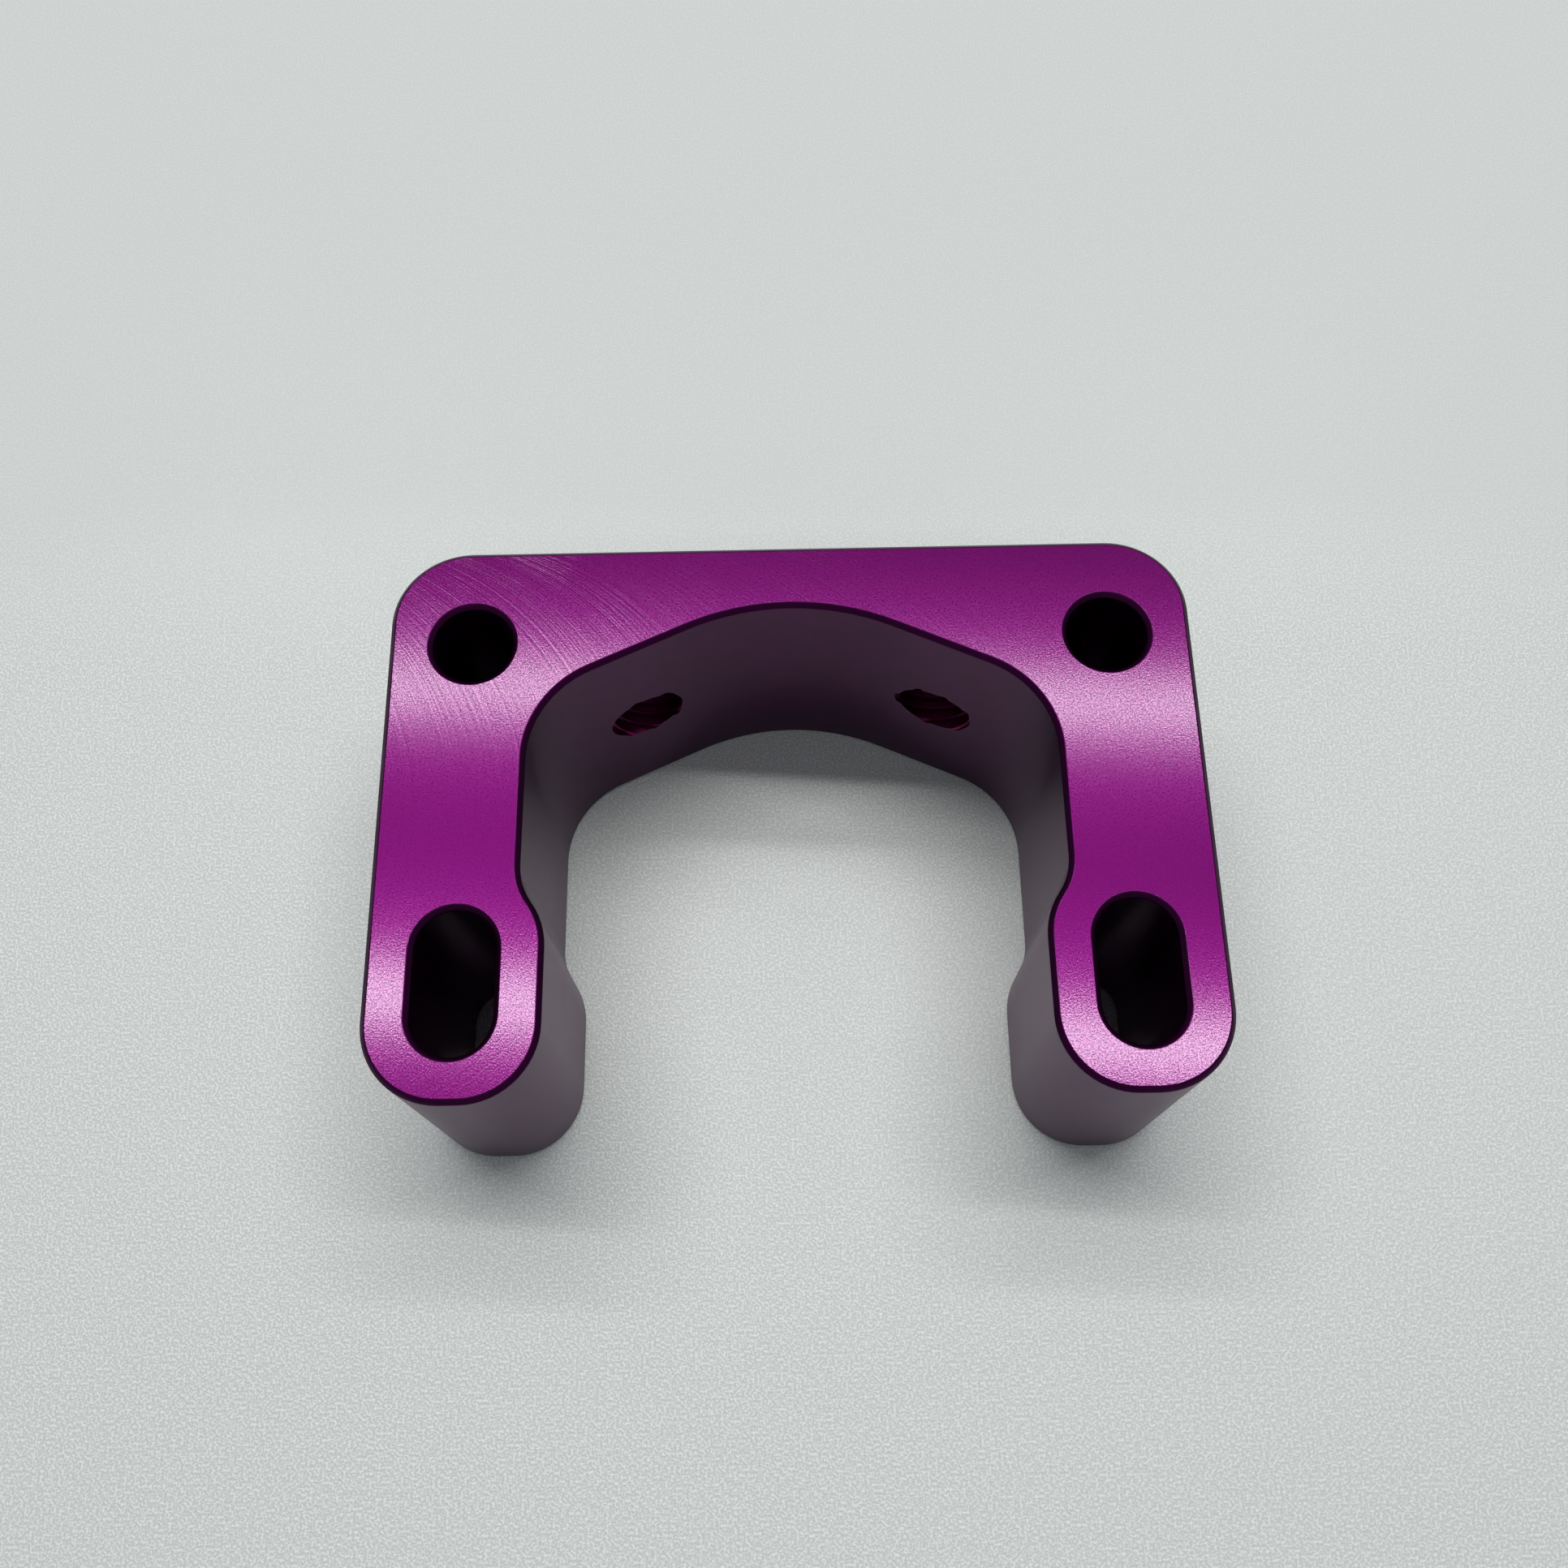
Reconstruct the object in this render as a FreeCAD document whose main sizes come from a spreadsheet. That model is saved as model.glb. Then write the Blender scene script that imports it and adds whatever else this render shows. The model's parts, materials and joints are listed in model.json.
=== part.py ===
"""U-shaped saddle bracket, milled from one aluminium plate and anodised.

A thick bridge joins two legs.  Each leg has a round fixing hole and an adjusting slot,
and the bridge has two tapped holes that run from its back face to the sloping walls of
the opening.  Millimetres, +Z up, origin under the middle of the part, bridge towards +Y.
"""
import FreeCAD
import Part
import math
import os
import Sketcher

NODE = "saddle_bracket"

# name, value, meaning
DRIVING_SIZES = [
    ("body_height", 36.0, "plate thickness, along Z"),
    ("body_depth", 63.2, "from the toes of the legs to the back face"),
    ("leg_width", 18.7, "each leg, across its toe"),
    ("leg_gap", 52.6, "clear width between the two toes"),
    ("land_length", 16.4, "straight part of each leg's inner face, from the toe"),
    ("land_step", 2.9, "how far the opening widens behind each land"),
    ("step_crest_radius", 8.3, "round of the step where it leaves the land"),
    ("step_root_radius", 7.1, "round of the step where it meets the side wall"),
    ("saddle_corner_radius", 11.7, "inner corner between side wall and slope"),
    ("slope_angle", 24.35, "slope of the saddle walls against the back face, in degrees"),
    ("saddle_crown_radius", 28.4, "arc that joins the two slopes"),
    ("bridge_wall", 7.7, "thinnest part of the bridge, at the crown"),
    ("back_corner_radius", 8.75, "outer corners of the bridge"),
    ("toe_outer_radius", 8.6, "outer corner of each toe"),
    ("toe_inner_radius", 8.2, "inner corner of each toe"),
    ("edge_chamfer", 0.55, "45 degree chamfer on every edge of the top and bottom faces"),
    ("fixing_hole_diameter", 9.0, "round hole through each leg"),
    ("fixing_hole_setback", 11.65, "fixing hole axis, from the back face"),
    ("slot_width", 8.7, "adjusting slot through each leg"),
    ("slot_travel", 6.9, "distance between the slot's two end centres"),
    ("slot_setback", 12.7, "middle of the slot, from the toe"),
    ("thread_diameter", 10.0, "nominal size of the tapped holes, M10"),
    ("thread_pitch", 1.5, "coarse pitch of that thread"),
    ("tapped_hole_spacing", 35.1, "between the two tapped hole axes"),
]

# the sketcher's own numbers for the points of an edge, and for the sketch's axes and origin
START, END, CENTRE = range(1, 4)
X_AXIS, Y_AXIS = -1, -2
ORIGIN_POINT = (X_AXIS, START)


def make_sheet(doc):
    """Spreadsheet that holds every driving size under its own alias."""
    sheet = doc.addObject("Spreadsheet::Sheet", "Sizes")
    for row, (name, value, meaning) in enumerate(DRIVING_SIZES, start=1):
        sheet.set(f"A{row}", name)
        sheet.set(f"B{row}", str(value))
        sheet.setAlias(f"B{row}", name)
        sheet.set(f"C{row}", meaning)
    doc.recompute()
    return sheet


def origin_plane(body, role):
    """One of the body's own origin planes."""
    return next(item for item in body.Origin.OriginFeatures if item.Role == role)


def new_sketch(body, name, role):
    """Empty sketch on one of the body's origin planes."""
    sketch = body.newObject("Sketcher::SketchObject", name)
    sketch.AttachmentSupport = (origin_plane(body, role), [""])
    sketch.MapMode = "FlatFace"
    return sketch


def dimension(sketch, name, constraint, expression):
    """Add a dimension and tie it to the sheet."""
    index = sketch.addConstraint(constraint)
    sketch.renameConstraint(index, name)
    sketch.setExpression(f"Constraints.{name}", expression)


def line(x_start, y_start, x_end, y_end):
    return Part.LineSegment(FreeCAD.Vector(x_start, y_start, 0), FreeCAD.Vector(x_end, y_end, 0))


def arc(x_centre, y_centre, radius, from_degrees, to_degrees):
    """Arc that runs anticlockwise."""
    circle = Part.Circle(FreeCAD.Vector(x_centre, y_centre, 0), FreeCAD.Vector(0, 0, 1), radius)
    return Part.ArcOfCircle(circle, math.radians(from_degrees), math.radians(to_degrees))


def half_outline(size):
    """Right half of the plan view, anticlockwise from the toe, near its final shape."""
    front = -size.body_depth / 2
    back = size.body_depth / 2
    land = size.leg_gap / 2
    wall = land + size.land_step
    side = land + size.leg_width
    toe_out = size.toe_outer_radius
    toe_in = size.toe_inner_radius
    corner = size.back_corner_radius

    crest = size.step_crest_radius
    root = size.step_root_radius
    reach = crest + root
    turn = math.degrees(math.acos(1 - size.land_step / reach))
    step_start = front + size.land_length
    step_end = step_start + reach * math.sin(math.radians(turn))

    slope = math.radians(size.slope_angle)
    crown = size.saddle_crown_radius
    crown_top = back - size.bridge_wall
    crown_centre = crown_top - crown
    inner = size.saddle_corner_radius
    slope_peak = crown_centre + crown / math.cos(slope)
    inner_x = wall - inner
    inner_y = slope_peak - inner_x * math.tan(slope) - inner / math.cos(slope)
    rise = 90 - size.slope_angle

    return {
        "toe": line(land + toe_in, front, side - toe_out, front),
        "toe_outer": arc(side - toe_out, front + toe_out, toe_out, -90, 0),
        "side": line(side, front + toe_out, side, back - corner),
        "back_corner": arc(side - corner, back - corner, corner, 0, 90),
        "back": line(side - corner, back, 0, back),
        "middle": line(0, back, 0, crown_top),
        "crown": arc(0, crown_centre, crown, rise, 90),
        "slope": line(crown * math.sin(slope), crown_centre + crown * math.cos(slope),
                      inner_x + inner * math.sin(slope), inner_y + inner * math.cos(slope)),
        "saddle_corner": arc(inner_x, inner_y, inner, 0, rise),
        "wall": line(wall, inner_y, wall, step_end),
        "step_root": arc(wall - root, step_end, root, -turn, 0),
        "step_crest": arc(land + crest, step_start, crest, 180 - turn, 180),
        "land": line(land, step_start, land, front + toe_in),
        "toe_inner": arc(land + toe_in, front + toe_in, toe_in, 180, 270),
    }


def sketch_outline(body, sheet):
    """Fully constrained plan view of the right half, all rounds tangent to their neighbours."""
    sketch = new_sketch(body, "outline", "XY_Plane")
    parts = half_outline(sheet)
    sketch.addGeometry(list(parts.values()), False)
    place = {name: index for index, name in enumerate(parts)}

    # hollow arcs are passed from their end to their start on the way round
    hollow = ("crown", "saddle_corner", "step_root")
    sharp = (("back", "middle"), ("middle", "crown"))
    names = list(parts)
    for name, following in zip(names, names[1:] + names[:1]):
        leave = START if name in hollow else END
        enter = END if following in hollow else START
        kind = "Coincident" if (name, following) in sharp else "Tangent"
        sketch.addConstraint(
            Sketcher.Constraint(kind, place[name], leave, place[following], enter))

    for name in ("toe", "back"):
        sketch.addConstraint(Sketcher.Constraint("Horizontal", place[name]))
    for name in ("side", "wall", "land"):
        sketch.addConstraint(Sketcher.Constraint("Vertical", place[name]))
    for name, point in (("middle", START), ("middle", END), ("crown", CENTRE)):
        sketch.addConstraint(
            Sketcher.Constraint("PointOnObject", place[name], point, Y_AXIS))

    toe_limit = "Sizes.leg_width * 0.49"
    radii = {
        "toe_outer": f"min(Sizes.toe_outer_radius; {toe_limit})",
        "toe_inner": f"min(Sizes.toe_inner_radius; {toe_limit})",
        "back_corner": "Sizes.back_corner_radius",
        "crown": "Sizes.saddle_crown_radius",
        "saddle_corner": "Sizes.saddle_corner_radius",
        "step_root": "Sizes.step_root_radius",
        "step_crest": "Sizes.step_crest_radius",
    }
    for name, expression in radii.items():
        constraint = Sketcher.Constraint("Radius", place[name], parts[name].Radius)
        dimension(sketch, f"{name}_round", constraint, expression)

    across = {
        "land": "Sizes.leg_gap / 2",
        "wall": "Sizes.leg_gap / 2 + Sizes.land_step",
        "side": "Sizes.leg_gap / 2 + Sizes.leg_width",
    }
    for name, expression in across.items():
        constraint = Sketcher.Constraint("DistanceX", *ORIGIN_POINT, place[name], START,
                                         parts[name].StartPoint.x)
        dimension(sketch, f"{name}_offset", constraint, expression)

    back_y = parts["back"].StartPoint.y
    slope = math.radians(sheet.slope_angle)
    dimension(sketch, "back_offset",
              Sketcher.Constraint("DistanceY", *ORIGIN_POINT, place["back"], START, back_y),
              "Sizes.body_depth / 2")
    dimension(sketch, "toe_offset",
              Sketcher.Constraint("DistanceY", place["toe"], START, *ORIGIN_POINT, back_y),
              "Sizes.body_depth / 2")
    dimension(sketch, "land_reach",
              Sketcher.Constraint("DistanceY", place["toe"], START, place["land"], START,
                                  sheet.land_length),
              "Sizes.land_length")
    dimension(sketch, "bridge_wall",
              Sketcher.Constraint("DistanceY", place["middle"], END, place["middle"], START,
                                  sheet.bridge_wall),
              "Sizes.bridge_wall")
    dimension(sketch, "slope_angle",
              Sketcher.Constraint("Angle", place["slope"], START, X_AXIS, START, slope),
              "Sizes.slope_angle")
    return sketch


def add_pad(body, sketch):
    """Raise the plan view to the plate's full thickness."""
    pad = body.newObject("PartDesign::Pad", "plate")
    pad.Profile = sketch
    pad.setExpression("Length", "Sizes.body_height")
    return pad


def cut_through(body, sketch, name):
    """Pocket that goes up through the whole plate."""
    pocket = body.newObject("PartDesign::Pocket", name)
    pocket.Profile = sketch
    pocket.Type = "ThroughAll"
    pocket.Reversed = True
    return pocket


def add_fixing_hole(body, sheet):
    """Round clearance hole on the leg's centre line, near the back face."""
    sketch = new_sketch(body, "fixing_hole_sketch", "XY_Plane")
    axis = FreeCAD.Vector((sheet.leg_gap + sheet.leg_width) / 2,
                          sheet.body_depth / 2 - sheet.fixing_hole_setback, 0)
    radius = sheet.fixing_hole_diameter / 2
    sketch.addGeometry(Part.Circle(axis, FreeCAD.Vector(0, 0, 1), radius), False)
    dimension(sketch, "bore", Sketcher.Constraint("Diameter", 0, 2 * radius),
              "Sizes.fixing_hole_diameter")
    dimension(sketch, "across",
              Sketcher.Constraint("DistanceX", *ORIGIN_POINT, 0, CENTRE, axis.x),
              "(Sizes.leg_gap + Sizes.leg_width) / 2")
    dimension(sketch, "along",
              Sketcher.Constraint("DistanceY", *ORIGIN_POINT, 0, CENTRE, axis.y),
              "Sizes.body_depth / 2 - Sizes.fixing_hole_setback")
    return cut_through(body, sketch, "fixing_hole")


def add_slot(body, sheet):
    """Adjusting slot on the leg's centre line, running towards the toe."""
    sketch = new_sketch(body, "slot_sketch", "XY_Plane")
    x_middle = (sheet.leg_gap + sheet.leg_width) / 2
    y_middle = sheet.slot_setback - sheet.body_depth / 2
    radius = sheet.slot_width / 2
    reach = sheet.slot_travel / 2
    far_end, near_end, left, right = range(4)
    sketch.addGeometry([
        arc(x_middle, y_middle + reach, radius, 0, 180),
        arc(x_middle, y_middle - reach, radius, 180, 360),
        line(x_middle - radius, y_middle + reach, x_middle - radius, y_middle - reach),
        line(x_middle + radius, y_middle - reach, x_middle + radius, y_middle + reach),
    ], False)
    for first, leave, second, enter in ((far_end, END, left, START), (left, END, near_end, START),
                                        (near_end, END, right, START), (right, END, far_end, START)):
        sketch.addConstraint(Sketcher.Constraint("Tangent", first, leave, second, enter))
    for side in (left, right):
        sketch.addConstraint(Sketcher.Constraint("Vertical", side))
    dimension(sketch, "end_round", Sketcher.Constraint("Radius", far_end, radius),
              "Sizes.slot_width / 2")
    dimension(sketch, "travel",
              Sketcher.Constraint("DistanceY", near_end, CENTRE, far_end, CENTRE, 2 * reach),
              "Sizes.slot_travel")
    dimension(sketch, "across",
              Sketcher.Constraint("DistanceX", *ORIGIN_POINT, far_end, CENTRE, x_middle),
              "(Sizes.leg_gap + Sizes.leg_width) / 2")
    dimension(sketch, "along",
              Sketcher.Constraint("DistanceY", far_end, CENTRE, *ORIGIN_POINT, -y_middle - reach),
              "Sizes.body_depth / 2 - Sizes.slot_setback - Sizes.slot_travel / 2")
    return cut_through(body, sketch, "slot")


def add_tapped_hole(body, sheet, doc):
    """M10 hole from the back face to the sloping wall: tap drill and mouth, thread not cut."""
    sketch = new_sketch(body, "tapped_hole_sketch", "XZ_Plane")
    sketch.setExpression("AttachmentOffset.Base.z", "-Sizes.body_depth / 2")
    axis = FreeCAD.Vector(sheet.tapped_hole_spacing / 2, sheet.body_height / 2, 0)
    circle = Part.Circle(axis, FreeCAD.Vector(0, 0, 1), sheet.thread_diameter / 2)
    sketch.addGeometry(circle, False)
    dimension(sketch, "nominal", Sketcher.Constraint("Diameter", 0, sheet.thread_diameter),
              "Sizes.thread_diameter")
    dimension(sketch, "across",
              Sketcher.Constraint("DistanceX", *ORIGIN_POINT, 0, CENTRE, axis.x),
              "Sizes.tapped_hole_spacing / 2")
    dimension(sketch, "up",
              Sketcher.Constraint("DistanceY", *ORIGIN_POINT, 0, CENTRE, axis.y),
              "Sizes.body_height / 2")
    doc.recompute()

    hole = body.newObject("PartDesign::Hole", "tapped_hole")
    hole.Profile = sketch
    doc.recompute()
    hole.Threaded = False
    hole.DepthType = "ThroughAll"
    hole.Reversed = True
    hole.setExpression("Diameter", "Sizes.thread_diameter - Sizes.thread_pitch")
    hole.HoleCutType = "Countersink"
    hole.setExpression("HoleCutDiameter", "Sizes.thread_diameter + 2 * Sizes.edge_chamfer")
    hole.HoleCutCountersinkAngle = 90
    return hole


def mirror_half(body, features):
    """Copy the right half's features to the left of the part's middle plane."""
    mirror = body.newObject("PartDesign::Mirrored", "whole")
    mirror.Originals = features
    mirror.MirrorPlane = (origin_plane(body, "YZ_Plane"), [""])
    body.Tip = mirror
    return mirror


def level_faces(shape):
    """Names of the flat faces that look straight up or down."""
    names = []
    for number, face in enumerate(shape.Faces, start=1):
        if isinstance(face.Surface, Part.Plane) and abs(face.Surface.Axis.z) > 0.999:
            names.append(f"Face{number}")
    return names


def break_edges(body, base):
    """Chamfer every edge of the top and bottom faces, hole and slot mouths included."""
    chamfer = body.newObject("PartDesign::Chamfer", "edge_chamfer")
    chamfer.Base = (base, level_faces(base.Shape))
    chamfer.setExpression("Size", "Sizes.edge_chamfer")
    return chamfer


def make_bracket(doc, sheet):
    """The whole bracket: right half, mirrored, then all its edges broken."""
    body = doc.addObject("PartDesign::Body", NODE)
    body.Label = NODE
    plate = add_pad(body, sketch_outline(body, sheet))
    doc.recompute()
    features = [plate]
    for feature in (add_fixing_hole(body, sheet), add_slot(body, sheet),
                    add_tapped_hole(body, sheet, doc)):
        features.append(feature)
    doc.recompute()
    whole = mirror_half(body, features)
    doc.recompute()
    break_edges(body, whole)
    doc.recompute()
    body.Placement = FreeCAD.Placement()
    return body


def check_document(doc):
    """Stop if any object failed to compute."""
    for item in doc.Objects:
        if {"Invalid", "Error"} & set(item.State):
            raise RuntimeError(f"{item.Name} failed: {item.State}")


def export_piece(body):
    """Write one piece to parts/, named by its label, if it is one sound solid."""
    shape = body.Shape
    if shape.isNull() or not shape.isValid() or len(shape.Solids) != 1:
        raise RuntimeError(f"{body.Label} isn't one valid solid")
    shape.exportStep(f"parts/{body.Label}.step")


document = FreeCAD.newDocument("saddle_bracket_model")
bracket = make_bracket(document, make_sheet(document))
check_document(document)
os.makedirs("parts", exist_ok=True)
export_piece(bracket)
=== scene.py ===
import json
import math

import bpy
from mathutils import Matrix, Vector


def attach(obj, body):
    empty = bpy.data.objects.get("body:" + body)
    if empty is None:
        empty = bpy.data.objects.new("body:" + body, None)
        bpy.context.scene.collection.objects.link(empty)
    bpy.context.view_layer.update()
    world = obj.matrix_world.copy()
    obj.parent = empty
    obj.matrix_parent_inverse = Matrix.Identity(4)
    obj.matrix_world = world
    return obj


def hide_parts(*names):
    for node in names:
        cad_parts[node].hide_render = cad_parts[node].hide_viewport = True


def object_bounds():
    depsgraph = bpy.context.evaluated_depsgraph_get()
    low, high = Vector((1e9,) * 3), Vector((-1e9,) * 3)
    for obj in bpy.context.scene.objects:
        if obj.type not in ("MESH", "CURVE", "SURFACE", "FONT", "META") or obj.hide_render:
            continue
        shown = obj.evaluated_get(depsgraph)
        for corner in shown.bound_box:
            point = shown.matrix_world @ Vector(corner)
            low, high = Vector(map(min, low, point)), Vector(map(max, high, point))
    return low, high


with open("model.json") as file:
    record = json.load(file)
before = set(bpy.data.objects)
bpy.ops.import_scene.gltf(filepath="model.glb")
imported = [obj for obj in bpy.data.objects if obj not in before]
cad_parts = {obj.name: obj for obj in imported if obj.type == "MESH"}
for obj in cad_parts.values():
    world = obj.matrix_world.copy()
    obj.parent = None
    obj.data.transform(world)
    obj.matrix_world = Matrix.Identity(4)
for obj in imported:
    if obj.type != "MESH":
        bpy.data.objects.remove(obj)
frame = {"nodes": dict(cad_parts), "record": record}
cad_low, cad_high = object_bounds()

# The bracket: one block of aluminium alloy plate, milled all round to a U with a saddle.
# Its level faces are chamfered, and two holes are drilled through its bridge for tapping.
MM = 0.001
SAME_POINT = 0.0005 * MM
FLAT_ANGLE = math.radians(0.2)


def pick_only(piece):
    """Leaves this piece alone selected and active."""
    bpy.ops.object.select_all(action="DESELECT")
    piece.select_set(True)
    bpy.context.view_layer.objects.active = piece


milled_block = frame["nodes"]["saddle_bracket"]
bracket = bpy.data.objects.new("machined_bracket", milled_block.data.copy())
bpy.context.scene.collection.objects.link(bracket)
pick_only(bracket)
bpy.ops.mesh.customdata_custom_splitnormals_clear()
bpy.ops.object.mode_set(mode="EDIT")
bpy.ops.mesh.select_all(action="SELECT")
bpy.ops.mesh.remove_doubles(threshold=SAME_POINT)
bpy.ops.mesh.dissolve_limited(angle_limit=FLAT_ANGLE)
bpy.ops.object.mode_set(mode="OBJECT")
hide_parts("saddle_bracket")
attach(bracket, "root")

# The edges: a fine stone is run along every chamfer before the bracket is anodised.
# It leaves no edge of the chamfers sharper than a tenth of a millimetre or so.
EDGE_ROUND = 0.10 * MM
CHAMFER_DEPTH = 0.55 * MM
SHARP_ANGLE = math.radians(28)
POINT_TOLERANCE = 0.02 * MM
level_rims = (cad_low.z, cad_low.z + CHAMFER_DEPTH, cad_high.z - CHAMFER_DEPTH, cad_high.z)
bpy.ops.object.mode_set(mode="EDIT")
bpy.ops.mesh.select_mode(type="EDGE")
bpy.ops.mesh.select_all(action="DESELECT")
bpy.ops.mesh.edges_select_sharp(sharpness=SHARP_ANGLE)
bpy.ops.object.mode_set(mode="OBJECT")
for edge in bracket.data.edges:
    heights = [bracket.data.vertices[v].co.z for v in edge.vertices]
    at_rim = any(all(abs(h - rim) < POINT_TOLERANCE for h in heights) for rim in level_rims)
    edge.select = edge.select and at_rim
bpy.ops.object.mode_set(mode="EDIT")
bpy.ops.mesh.bevel(offset=EDGE_ROUND, segments=2, affect="EDGES")
bpy.ops.object.mode_set(mode="OBJECT")

# The screw threads: M10 by 1.5, right-handed, tapped through the bridge from its back face.
# The tap's tapered lead is all that reaches the sloping walls, so the threads fade out there.
THREAD_PITCH = 1.5 * MM
THREAD_RADIUS = 5.0 * MM
LEAD_RADIUS = 4.5 * MM
LEAD_START = 17.0 * MM
LEAD_END = 25.0 * MM
CUTTER_INNER_RADIUS = 4.0 * MM
ROOT_FLAT = THREAD_PITCH / 8
HALF_FLANK_ANGLE = math.radians(30)
THREAD_LOW_END = 14.2 * MM
THREAD_TURNS = 13
STEPS_PER_TURN = 64

tapped_holes = [m for m in frame["record"]["mounts"] if m["kind"] == "threaded_hole"]
tooth_depth = THREAD_RADIUS - CUTTER_INNER_RADIUS
tooth_base = ROOT_FLAT + 2 * tooth_depth * math.tan(HALF_FLANK_ANGLE)
for hole in tapped_holes:
    bpy.ops.object.select_all(action="DESELECT")
    bpy.ops.mesh.primitive_plane_add(size=1)
    tap = bpy.context.active_object
    tap.name = "tap_for_" + hole["name"]
    for corner in tap.data.vertices:
        outer = corner.co.x > 0
        width = ROOT_FLAT if outer else tooth_base
        corner.co = (THREAD_RADIUS if outer else CUTTER_INNER_RADIUS,
                     math.copysign(width / 2, corner.co.y), 0)
    helix = tap.modifiers.new("helix", "SCREW")
    helix.axis = "Y"
    helix.angle = 2 * math.pi
    helix.screw_offset = THREAD_PITCH
    helix.iterations = THREAD_TURNS
    helix.steps = helix.render_steps = STEPS_PER_TURN
    bpy.ops.object.modifier_apply(modifier="helix")
    bpy.ops.object.mode_set(mode="EDIT")
    bpy.ops.mesh.select_all(action="SELECT")
    bpy.ops.mesh.remove_doubles(threshold=SAME_POINT)
    bpy.ops.mesh.select_all(action="DESELECT")
    bpy.ops.mesh.select_non_manifold()
    bpy.ops.mesh.fill_holes(sides=4)
    bpy.ops.mesh.select_all(action="SELECT")
    bpy.ops.mesh.normals_make_consistent(inside=False)
    bpy.ops.object.mode_set(mode="OBJECT")
    for point in tap.data.vertices:
        along = (point.co.y + THREAD_LOW_END - LEAD_START) / (LEAD_END - LEAD_START)
        share = LEAD_RADIUS / THREAD_RADIUS
        share += (1 - share) * min(1, max(0, along))
        point.co.x *= share
        point.co.z *= share
    tap.location = (hole["pos_m"][0], THREAD_LOW_END, hole["pos_m"][2])
    pick_only(bracket)
    cut = bracket.modifiers.new("thread", "BOOLEAN")
    cut.operation = "DIFFERENCE"
    cut.solver = "EXACT"
    cut.object = tap
    bpy.ops.object.modifier_apply(modifier="thread")
    bpy.data.objects.remove(tap)

# The fillets and bores are smooth to the eye, as milled and stoned metal is.
# The flat faces stay flat right up to the rounds beside them.
bpy.ops.object.mode_set(mode="EDIT")
bpy.ops.mesh.select_all(action="SELECT")
bpy.ops.mesh.remove_doubles(threshold=SAME_POINT)
bpy.ops.object.mode_set(mode="OBJECT")
bpy.ops.object.shade_smooth_by_angle(angle=SHARP_ANGLE)
flatten = bracket.modifiers.new("flat_faces", "WEIGHTED_NORMAL")
flatten.mode = "FACE_AREA"
flatten.keep_sharp = True
flatten.weight = 100
bpy.ops.object.modifier_apply(modifier="flat_faces")

# The finish on the level faces: purple anodising over face-milled, finely blasted aluminium.
# Under lamps the clear film glints pale and grainy, and between them the dyed metal is deep purple.


def linear(code):
    """The linear colour that a shader needs for an sRGB hex colour."""
    parts = [int(code[i:i + 2], 16) / 255 for i in (1, 3, 5)]
    return [c / 12.92 if c <= 0.04045 else ((c + 0.055) / 1.055) ** 2.4 for c in parts] + [1]


def add_node(material, kind, settings=None, inputs=None):
    """Adds one node, sets its properties, and fills or links its inputs."""
    tree = material.node_tree
    node = tree.nodes.new(kind)
    for name, value in (settings or {}).items():
        setattr(node, name, value)
    for name, value in (inputs or {}).items():
        if isinstance(value, bpy.types.NodeSocket):
            tree.links.new(value, node.inputs[name])
        else:
            node.inputs[name].default_value = value
    return node


def new_material(name):
    """A material with no nodes yet."""
    material = bpy.data.materials.new(name)
    material.use_nodes = True
    material.node_tree.nodes.clear()
    return material


# One face mill of this radius crossed the block from left to right, with its centre on this line.
# The blasted grain is drawn coarser than the real one, which no render of the whole part shows.
MILL_RADIUS = 35.3 * MM
MILL_CENTRE_Y = -1.5 * MM
MILL_MARK_SPACING = 0.38 * MM
MILL_MARK_HEIGHT = 0.006 * MM
BLAST_GRAIN = 0.2 * MM
BLAST_GRAIN_HEIGHT = 0.004 * MM
FILM_GRAIN_HEIGHT = 0.003 * MM
WORN_PATCH = 9 * MM
MARKS_LEFT, MARKS_RIGHT = -30 * MM, 25 * MM
MARKS_FRONT, MARKS_BACK = 2 * MM, 24 * MM

milled = new_material("purple_anodised_milled_face")
place = add_node(milled, "ShaderNodeTexCoord").outputs["Object"]
axes = add_node(milled, "ShaderNodeSeparateXYZ", {}, {"Vector": place})
from_centre = add_node(milled, "ShaderNodeMath", {"operation": "SUBTRACT"},
                       {0: axes.outputs["Y"], 1: MILL_CENTRE_Y})
from_centre_squared = add_node(milled, "ShaderNodeMath", {"operation": "POWER"},
                               {0: from_centre.outputs["Value"], 1: 2.0})
rise_squared = add_node(milled, "ShaderNodeMath", {"operation": "SUBTRACT"},
                        {0: MILL_RADIUS ** 2, 1: from_centre_squared.outputs["Value"]})
rise = add_node(milled, "ShaderNodeMath", {"operation": "SQRT"},
                {0: rise_squared.outputs["Value"]})
sweep = add_node(milled, "ShaderNodeMath", {"operation": "SUBTRACT"},
                 {0: axes.outputs["X"], 1: rise.outputs["Value"]})
marks = add_node(milled, "ShaderNodeTexNoise", {"noise_dimensions": "1D"},
                 {"W": sweep.outputs["Value"], "Scale": 1 / MILL_MARK_SPACING,
                  "Detail": 2.0, "Roughness": 0.6})
across_fade = add_node(milled, "ShaderNodeMapRange", {},
                       {"Value": axes.outputs["X"], "From Min": MARKS_LEFT, "From Max": MARKS_RIGHT,
                        "To Min": 1.0, "To Max": 0.2})
along_fade = add_node(milled, "ShaderNodeMapRange", {},
                      {"Value": axes.outputs["Y"], "From Min": MARKS_FRONT, "From Max": MARKS_BACK,
                       "To Min": 0.25, "To Max": 1.0})
wander = add_node(milled, "ShaderNodeTexNoise", {},
                  {"Vector": place, "Scale": 1 / WORN_PATCH, "Detail": 1.0})
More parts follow.
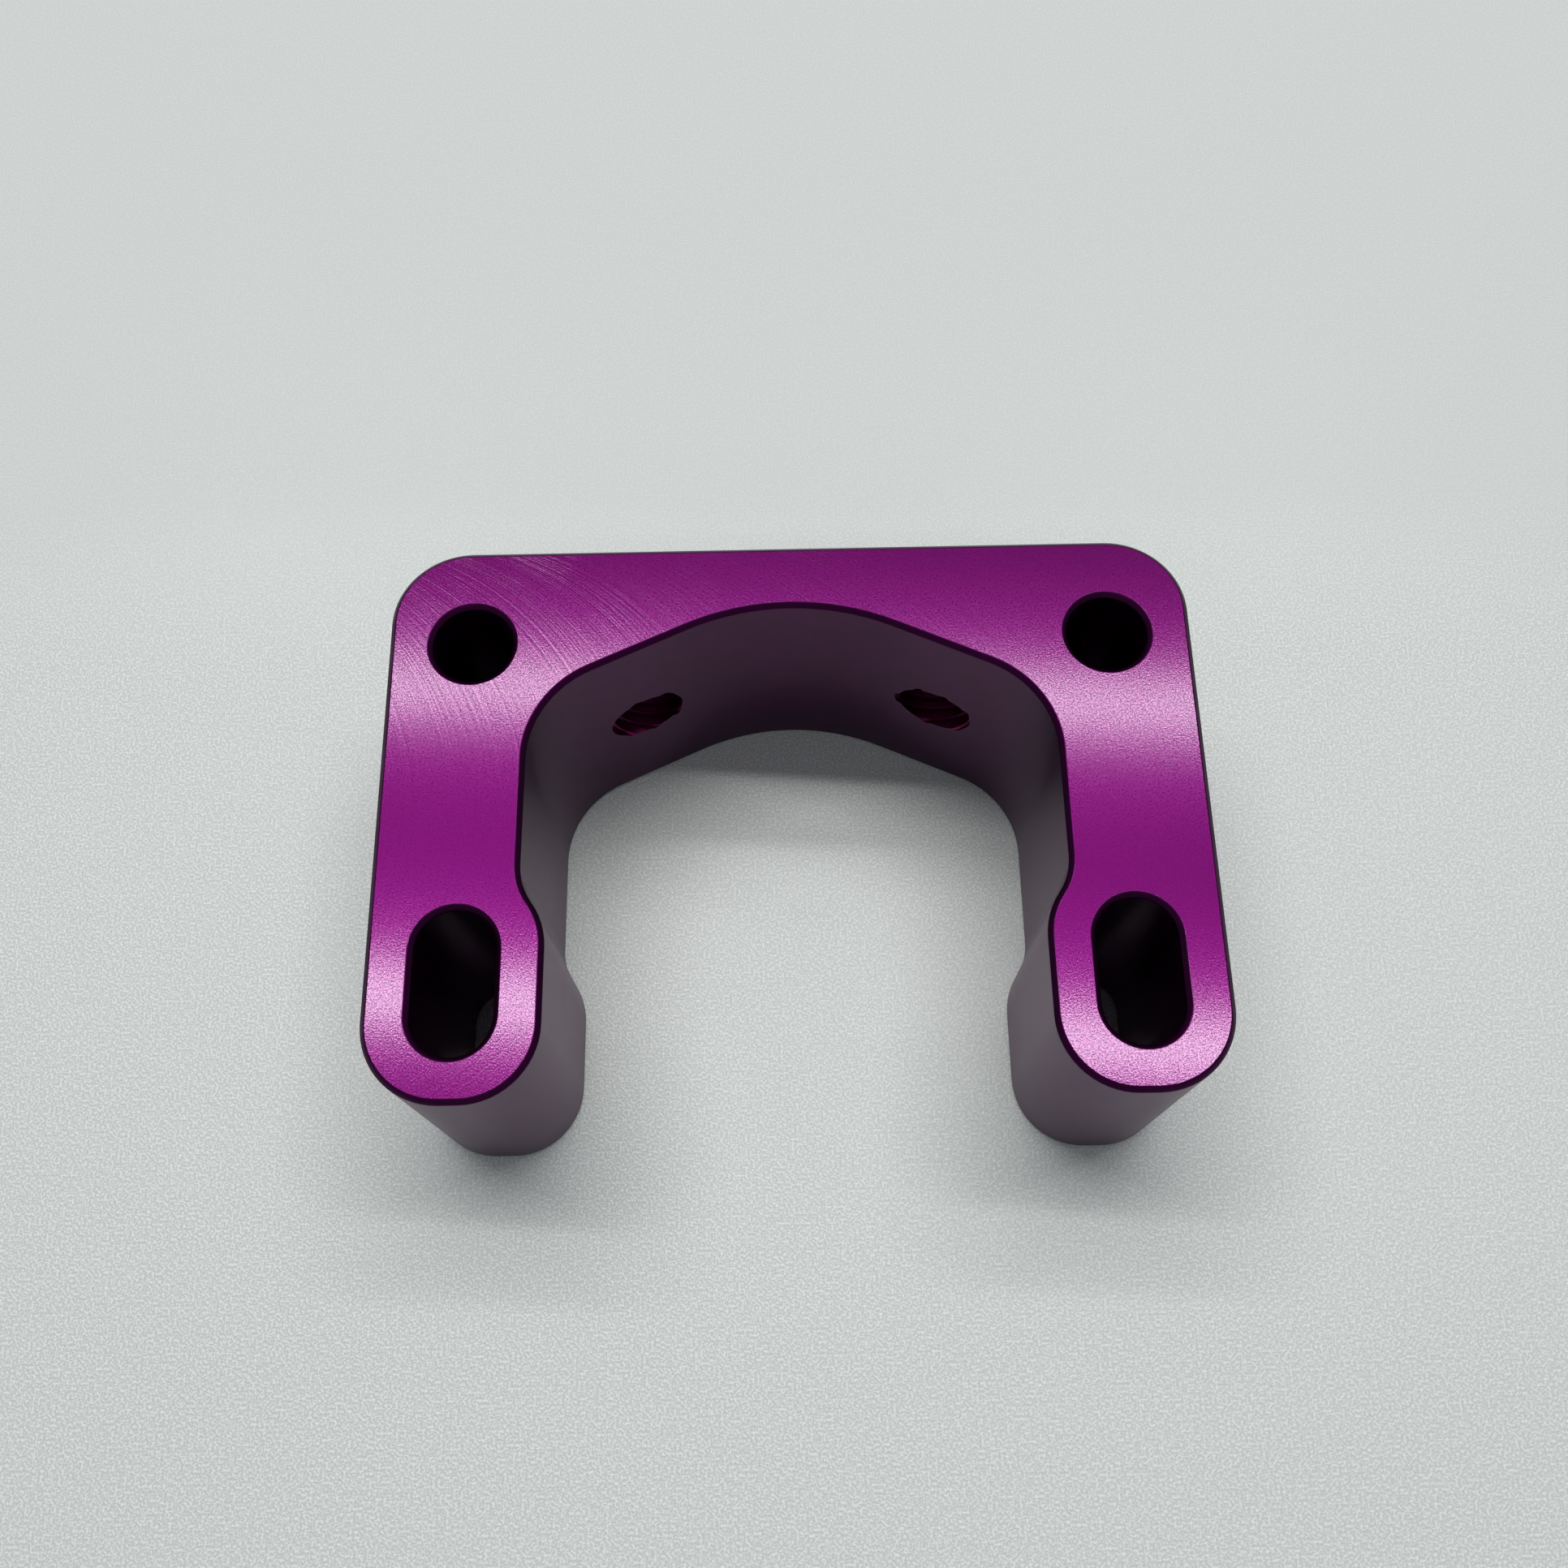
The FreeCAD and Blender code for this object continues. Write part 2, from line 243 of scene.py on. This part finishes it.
worn = add_node(milled, "ShaderNodeMapRange", {"interpolation_type": "SMOOTHSTEP"},
                {"Value": wander.outputs["Fac"], "From Min": 0.35, "From Max": 0.6,
                 "To Min": 0.55, "To Max": 1.0})
fade = add_node(milled, "ShaderNodeMath", {"operation": "MULTIPLY"},
                {0: across_fade.outputs["Result"], 1: along_fade.outputs["Result"]})
mark_strength = add_node(milled, "ShaderNodeMath", {"operation": "MULTIPLY"},
                         {0: fade.outputs["Value"], 1: worn.outputs["Result"]})
mark_relief = add_node(milled, "ShaderNodeBump", {},
                       {"Height": marks.outputs["Fac"], "Strength": mark_strength.outputs["Value"],
                        "Distance": MILL_MARK_HEIGHT})
grain = add_node(milled, "ShaderNodeTexNoise", {},
                 {"Vector": place, "Scale": 1 / BLAST_GRAIN, "Detail": 1.0, "Roughness": 0.6})
relief = add_node(milled, "ShaderNodeBump", {},
                  {"Height": grain.outputs["Fac"], "Strength": 1.0, "Distance": BLAST_GRAIN_HEIGHT,
                   "Normal": mark_relief.outputs["Normal"]})
film_relief = add_node(milled, "ShaderNodeBump", {},
                       {"Height": grain.outputs["Fac"], "Strength": 1.0,
                        "Distance": FILM_GRAIN_HEIGHT, "Normal": mark_relief.outputs["Normal"]})
mark_level = add_node(milled, "ShaderNodeMath", {"operation": "SUBTRACT"},
                      {0: marks.outputs["Fac"], 1: 0.5})
texture = add_node(milled, "ShaderNodeMath", {"operation": "MULTIPLY_ADD"},
                   {0: mark_level.outputs["Value"], 1: mark_strength.outputs["Value"],
                    2: grain.outputs["Fac"]})
grain_level = add_node(milled, "ShaderNodeMapRange", {"interpolation_type": "SMOOTHSTEP"},
                       {"Value": texture.outputs["Value"], "From Min": 0.30, "From Max": 0.70})
sheen = add_node(milled, "ShaderNodeMapRange", {},
                 {"Value": grain_level.outputs["Result"], "To Min": 0.29, "To Max": 0.18})
dye = add_node(milled, "ShaderNodeMix", {"data_type": "RGBA"},
               {"Factor": grain_level.outputs["Result"],
                "A": linear("#3d0237"), "B": linear("#470240")})
glint = add_node(milled, "ShaderNodeMapRange", {},
                 {"Value": grain_level.outputs["Result"], "To Min": 0.24, "To Max": 0.51})
add_node(milled, "ShaderNodeOutputMaterial", {}, {
    "Surface": add_node(milled, "ShaderNodeBsdfPrincipled", {}, {
        "Base Color": dye.outputs["Result"], "Metallic": 1.0,
        "Roughness": sheen.outputs["Result"], "Normal": relief.outputs["Normal"],
        "Coat Weight": glint.outputs["Result"], "Coat Roughness": 0.09,
        "Coat Normal": film_relief.outputs["Normal"]}).outputs["BSDF"]})

# The finish on the walls, chamfers and holes: the same anodising over side-milled aluminium.
# It is smoother and quieter, a dark satin purple that greys where it mirrors something pale.
CLOUD = 4 * MM
satin = new_material("purple_anodised_satin_wall")
satin_place = add_node(satin, "ShaderNodeTexCoord").outputs["Object"]
cloud = add_node(satin, "ShaderNodeTexNoise", {},
                 {"Vector": satin_place, "Scale": 1 / CLOUD, "Detail": 3.0, "Roughness": 0.5})
satin_dye = add_node(satin, "ShaderNodeMix", {"data_type": "RGBA"},
                     {"Factor": cloud.outputs["Fac"], "A": linear("#3f083a"), "B": linear("#4e0c48")})
add_node(satin, "ShaderNodeOutputMaterial", {}, {
    "Surface": add_node(satin, "ShaderNodeBsdfPrincipled", {}, {
        "Base Color": satin_dye.outputs["Result"], "Metallic": 1.0, "Roughness": 0.4,
        "Coat Weight": 0.10, "Coat Roughness": 0.12}).outputs["BSDF"]})

# The finish in the tapped holes: the same purple anodising over cut aluminium threads, given a brighter,
# redder purple than the walls.
# That lighter colour is painted light: it stands in for the light reaching into the holes, so the crests
# glint a little.
TOOL_SCORE = 0.4 * MM
threaded = new_material("purple_anodised_cut_thread_painted_lighter")
thread_place = add_node(threaded, "ShaderNodeTexCoord").outputs["Object"]
scores = add_node(threaded, "ShaderNodeTexNoise", {},
                  {"Vector": thread_place, "Scale": 1 / TOOL_SCORE, "Detail": 2.0, "Roughness": 0.6})
# Painted light: both thread colours are lighter and redder than the wall purple, standing in for light
# inside the holes.
thread_dye_painted_lighter = add_node(threaded, "ShaderNodeMix", {"data_type": "RGBA"},
                      {"Factor": scores.outputs["Fac"], "A": linear("#5e1546"), "B": linear("#86265f")})
add_node(threaded, "ShaderNodeOutputMaterial", {}, {
    "Surface": add_node(threaded, "ShaderNodeBsdfPrincipled", {}, {
        "Base Color": thread_dye_painted_lighter.outputs["Result"], "Metallic": 1.0, "Roughness": 0.4}).outputs["BSDF"]})

# Where each finish goes: milled on the level faces, threaded in the tapped holes.
# Every other face is a satin one.
LEVEL_NORMAL = 0.999
bracket.data.materials.clear()
for finish in (milled, satin, threaded):
    bracket.data.materials.append(finish)
for face in bracket.data.polygons:
    face.material_index = 0 if abs(face.normal.z) > LEVEL_NORMAL else 1
    corners = [bracket.data.vertices[v].co for v in face.vertices]
    for hole in tapped_holes:
        hole_x, hole_z = hole["pos_m"][0], hole["pos_m"][2]
        from_axis = [math.hypot(c.x - hole_x, c.z - hole_z) for c in corners]
        if max(from_axis) < THREAD_RADIUS + POINT_TOLERANCE:
            face.material_index = 2

# The floor: a sheet of pale grey packing foam with a fine pebbled skin.
# It carries the bracket's shadow and runs past the edges of the view.
FLOOR_HALF = 1500 * MM
PEBBLE = 0.30 * MM
PEBBLE_HEIGHT = 0.10 * MM
DEEP_PEBBLES, SHALLOW_PEBBLES = 35 * MM, 60 * MM
MEAN_TONE = 0.4
bpy.ops.object.select_all(action="DESELECT")
bpy.ops.mesh.primitive_plane_add(size=2 * FLOOR_HALF, location=(0, 0, 0))
floor = bpy.context.active_object
floor.name = "foam_sheet_floor"
foam = new_material("pale_packing_foam")
foam_place = add_node(foam, "ShaderNodeTexCoord")
foam_axes = add_node(foam, "ShaderNodeSeparateXYZ", {}, {"Vector": foam_place.outputs["Object"]})
pebble = add_node(foam, "ShaderNodeTexNoise", {},
                  {"Vector": foam_place.outputs["Object"], "Scale": 1 / PEBBLE, "Detail": 2.0,
                   "Roughness": 0.5})
pebble_depth = add_node(foam, "ShaderNodeMapRange", {},
                        {"Value": foam_axes.outputs["Y"], "From Min": DEEP_PEBBLES,
                         "From Max": SHALLOW_PEBBLES, "To Min": 1.0, "To Max": 0.3})
# The paler pebble tops are partly the foam's own pebbled tone and partly painted glints: whiter flecks
# stand in for lamp glints on the skin, fainter towards the back.
pebble_and_glint_level = add_node(foam, "ShaderNodeMapRange", {"interpolation_type": "SMOOTHSTEP"},
                        {"Value": pebble.outputs["Fac"], "From Min": 0.42, "From Max": 0.66})
pebble_swing = add_node(foam, "ShaderNodeMath", {"operation": "SUBTRACT"},
                        {0: pebble_and_glint_level.outputs["Result"], 1: MEAN_TONE})
pebble_and_glint_tone = add_node(foam, "ShaderNodeMath", {"operation": "MULTIPLY_ADD"},
                       {0: pebble_swing.outputs["Value"], 1: pebble_depth.outputs["Result"],
                        2: MEAN_TONE})
foam_colour_and_painted_glints = add_node(foam, "ShaderNodeMix", {"data_type": "RGBA"},
                       {"Factor": pebble_and_glint_tone.outputs["Value"],
                        "A": linear("#cacecb"), "B": linear("#e5e8e4")})
foam_relief = add_node(foam, "ShaderNodeBump", {},
                       {"Height": pebble.outputs["Fac"], "Strength": pebble_depth.outputs["Result"],
                        "Distance": PEBBLE_HEIGHT})
skin = add_node(foam, "ShaderNodeBsdfPrincipled", {},
                {"Base Color": foam_colour_and_painted_glints.outputs["Result"], "Roughness": 0.09,
                 "Specular IOR Level": 0.22, "Normal": foam_relief.outputs["Normal"]})
add_node(foam, "ShaderNodeOutputMaterial", {}, {"Surface": skin.outputs["BSDF"]})
floor.data.materials.append(foam)

# The light: rows of ceiling tubes overhead and behind, in a dim room.
# The two nearest rows lie as two soft bands across the bracket's top.
ROOM_STRENGTH = 0.26
room = bpy.data.worlds.new("dim_room")
bpy.context.scene.world = room
room.use_nodes = True
room.node_tree.nodes["Background"].inputs["Color"].default_value = linear("#dfe5ee")
room.node_tree.nodes["Background"].inputs["Strength"].default_value = ROOM_STRENGTH

CEILING = 1.18
TUBE_LENGTH = 1.2
TUBE_WIDTH = 0.045
TUBE_ROWS = (
    ("first_tube_row", 0.236, -5.0, 6.6),
    ("second_tube_row", 0.535, -3.0, 5.6),
    ("third_tube_row", 0.84, -2.0, 0.8),
    ("tube_row_in_front", -0.70, 0.0, 0.9),
)
for row_name, behind, turn, power in TUBE_ROWS:
    tube_data = bpy.data.lights.new(row_name, "AREA")
    tube_data.shape = "RECTANGLE"
    tube_data.size = TUBE_LENGTH
    tube_data.size_y = TUBE_WIDTH
    tube_data.energy = power
    tube = bpy.data.objects.new(row_name, tube_data)
    bpy.context.scene.collection.objects.link(tube)
    along = Vector((math.cos(math.radians(turn)), math.sin(math.radians(turn)), 0))
    spot = Vector((0, behind, CEILING))
    away = (spot - along * spot.dot(along)).normalized()
    tube.matrix_world = Matrix((along, away.cross(along), away)).transposed().to_4x4()
    tube.location = spot

# The camera looks down over the open end of the U, towards the bridge.
# It is about 200 mm above the floor and tilted 21 degrees from straight down.
EYE = Vector((-0.63, -60.12, 195.71)) * MM
FORWARD = Vector((-0.0019, 0.3641, -0.9314)).normalized()
ACROSS = Vector((0.9998, -0.0169, -0.0086))
SENSOR = 36.0
LENS = 36.40
across = (ACROSS - FORWARD * ACROSS.dot(FORWARD)).normalized()
upward = across.cross(FORWARD)
camera_data = bpy.data.cameras.new("camera")
camera_data.sensor_width = SENSOR
camera_data.lens = LENS
camera_data.clip_start = 0.01
camera_data.clip_end = 20
camera = bpy.data.objects.new("camera", camera_data)
bpy.context.scene.collection.objects.link(camera)
camera.matrix_world = Matrix((across, upward, -FORWARD)).transposed().to_4x4()
camera.location = EYE
bpy.context.scene.camera = camera
bpy.context.scene.view_settings.view_transform = "Standard"
